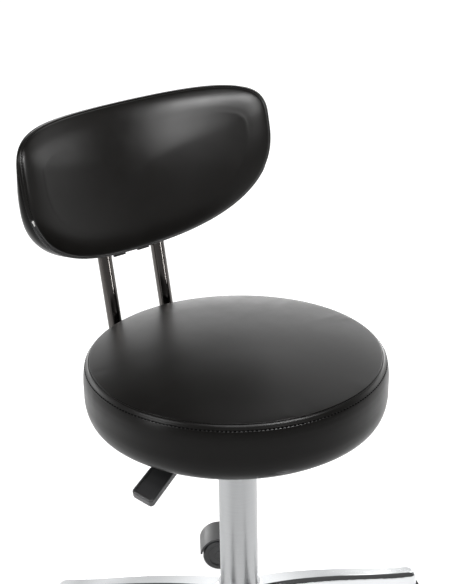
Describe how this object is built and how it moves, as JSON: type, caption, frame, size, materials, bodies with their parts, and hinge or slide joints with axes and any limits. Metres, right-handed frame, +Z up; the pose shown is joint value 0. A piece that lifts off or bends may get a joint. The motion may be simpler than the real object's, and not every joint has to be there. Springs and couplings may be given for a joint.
{
  "type": "rolling stylist stool",
  "caption": "Height-adjustable rolling stool with a padded round leatherette seat, curved padded lumbar backrest on twin bent tubes, gas column, lift lever and castor base",
  "frame": {"origin": "on the floor under the column axis, which is the bottom centre of the bounding box", "axes": "+Z up, -Y is the front of the stool where the sitter's legs go, the lift lever is on the -X side"},
  "size_m": [0.5524, 0.5221, 0.7477],
  "materials": {
    "chromed_steel": "polished chrome",
    "black_chrome": "polished dark chrome on the back tubes",
    "satin_steel": "satin silver-grey column tube",
    "zinc_steel": "bright zinc-plated fixings and ground steel",
    "black_paint": "semi-matt black paint on pressed plates",
    "black_leatherette": "smooth semi-gloss black leatherette",
    "grey_foam": "polyurethane foam",
    "black_cloth": "non-woven dust cover",
    "plywood": "raw beech ply",
    "black_plastic": "moulded black plastic, fine satin",
    "wheel_plastic": "black nylon wheel",
    "black_rubber": "rubber bumper",
    "acetal": "bearing-grade plastic sleeve"
  },
  "bodies": {
    "base": {"base_hub": "chromed_steel", "base_arms": "chromed_steel", "castor_sockets": "zinc_steel", "castor_stems": "zinc_steel", "column_tube": "satin_steel", "column_guide_sleeve": "acetal", "thrust_washer_lower": "zinc_steel", "thrust_balls": "zinc_steel"},
    "piston": {"thrust_washer_upper": "zinc_steel", "bump_stop": "black_rubber", "piston_rod": "chromed_steel", "piston_head": "acetal", "retaining_clip": "zinc_steel"},
    "seat": {"gas_cylinder": "satin_steel", "taper_socket": "black_paint", "lift_bracket": "black_paint", "lever_pivot_pin": "zinc_steel", "seat_plate": "black_paint", "seat_cover": "black_leatherette", "seat_dust_cover": "black_cloth", "seat_board": "plywood", "seat_foam": "grey_foam", "seat_bolts": "zinc_steel", "tee_nuts": "zinc_steel", "back_tube_left": "black_chrome", "back_tube_right": "black_chrome", "tube_end_caps": "black_plastic", "back_mount_plate": "black_paint", "back_mount_screws": "zinc_steel", "back_cover": "black_leatherette", "back_board": "plywood", "back_foam": "grey_foam", "back_plate": "black_paint", "back_screws": "zinc_steel", "tube_brace": "black_paint", "back_rear_shell": "black_leatherette"},
    "valve_pin": {"release_pin": "zinc_steel"},
    "lever": {"lever_rod": "black_paint", "lever_paddle": "black_plastic"},
    "castor_1": {"castor_hood_1": "black_plastic", "castor_axle_1": "zinc_steel"},
    "wheel_1a": {"castor_wheel_1a": "wheel_plastic"},
    "wheel_1b": {"castor_wheel_1b": "wheel_plastic"},
    "castor_2": {"castor_hood_2": "black_plastic", "castor_axle_2": "zinc_steel"},
    "wheel_2a": {"castor_wheel_2a": "wheel_plastic"},
    "wheel_2b": {"castor_wheel_2b": "wheel_plastic"},
    "castor_3": {"castor_hood_3": "black_plastic", "castor_axle_3": "zinc_steel"},
    "wheel_3a": {"castor_wheel_3a": "wheel_plastic"},
    "wheel_3b": {"castor_wheel_3b": "wheel_plastic"},
    "castor_4": {"castor_hood_4": "black_plastic", "castor_axle_4": "zinc_steel"},
    "wheel_4a": {"castor_wheel_4a": "wheel_plastic"},
    "wheel_4b": {"castor_wheel_4b": "wheel_plastic"},
    "castor_5": {"castor_hood_5": "black_plastic", "castor_axle_5": "zinc_steel"},
    "wheel_5a": {"castor_wheel_5a": "wheel_plastic"},
    "wheel_5b": {"castor_wheel_5b": "wheel_plastic"}
  },
  "joints": [
    {"name": "seat_swivel", "type": "hinge", "parent": "base", "child": "piston", "pos_m": [0, 0, 0.3], "axis": [0, 0, 1], "continuous": true},
    {"name": "height_slide", "type": "slide", "parent": "piston", "child": "seat", "axis": [0, 0, 1], "range_m": [0, 0.14]},
    {"name": "lever_lift", "type": "hinge", "parent": "seat", "child": "lever", "pos_m": [-0.03, 0, 0.375], "axis": [0, 1, 0], "range_deg": [0, 6], "stiffness_Nm_per_rad": 2, "springref_deg": -6.88},
    {"name": "valve_press", "type": "slide", "parent": "seat", "child": "valve_pin", "axis": [0, 0, -1], "range_m": [0, 0.0036]},
    {"name": "castor_swivel_1", "type": "hinge", "parent": "base", "child": "castor_1", "pos_m": [0, -0.25, 0.06], "axis": [0, 0, 1], "continuous": true},
    {"name": "wheel_spin_1a", "type": "hinge", "parent": "castor_1", "child": "wheel_1a", "pos_m": [0, -0.23, 0.025], "axis": [-1, 0, 0], "continuous": true},
    {"name": "wheel_spin_1b", "type": "hinge", "parent": "castor_1", "child": "wheel_1b", "pos_m": [0, -0.23, 0.025], "axis": [-1, 0, 0], "continuous": true},
    {"name": "castor_swivel_2", "type": "hinge", "parent": "base", "child": "castor_2", "pos_m": [0.23776, -0.07725, 0.06], "axis": [0, 0, 1], "continuous": true},
    {"name": "wheel_spin_2a", "type": "hinge", "parent": "castor_2", "child": "wheel_2a", "pos_m": [0.24394, -0.05823, 0.025], "axis": [-0.9511, 0.309, 0], "continuous": true},
    {"name": "wheel_spin_2b", "type": "hinge", "parent": "castor_2", "child": "wheel_2b", "pos_m": [0.24394, -0.05823, 0.025], "axis": [-0.9511, 0.309, 0], "continuous": true},
    {"name": "castor_swivel_3", "type": "hinge", "parent": "base", "child": "castor_3", "pos_m": [0.14695, 0.20225, 0.06], "axis": [0, 0, 1], "continuous": true},
    {"name": "wheel_spin_3a", "type": "hinge", "parent": "castor_3", "child": "wheel_3a", "pos_m": [0.13077, 0.21401, 0.025], "axis": [-0.5878, -0.809, 0], "continuous": true},
    {"name": "wheel_spin_3b", "type": "hinge", "parent": "castor_3", "child": "wheel_3b", "pos_m": [0.13077, 0.21401, 0.025], "axis": [-0.5878, -0.809, 0], "continuous": true},
    {"name": "castor_swivel_4", "type": "hinge", "parent": "base", "child": "castor_4", "pos_m": [-0.14695, 0.20225, 0.06], "axis": [0, 0, 1], "continuous": true},
    {"name": "wheel_spin_4a", "type": "hinge", "parent": "castor_4", "child": "wheel_4a", "pos_m": [-0.13077, 0.21401, 0.025], "axis": [-0.5878, 0.809, 0], "continuous": true},
    {"name": "wheel_spin_4b", "type": "hinge", "parent": "castor_4", "child": "wheel_4b", "pos_m": [-0.13077, 0.21401, 0.025], "axis": [-0.5878, 0.809, 0], "continuous": true},
    {"name": "castor_swivel_5", "type": "hinge", "parent": "base", "child": "castor_5", "pos_m": [-0.23776, -0.07725, 0.06], "axis": [0, 0, 1], "continuous": true},
    {"name": "wheel_spin_5a", "type": "hinge", "parent": "castor_5", "child": "wheel_5a", "pos_m": [-0.24394, -0.05823, 0.025], "axis": [-0.9511, -0.309, 0], "continuous": true},
    {"name": "wheel_spin_5b", "type": "hinge", "parent": "castor_5", "child": "wheel_5b", "pos_m": [-0.24394, -0.05823, 0.025], "axis": [-0.9511, -0.309, 0], "continuous": true}
  ],
  "couplings": [
    {"joint": "valve_press", "follows": "lever_lift", "m_per_rad": 0.0318}
  ]
}
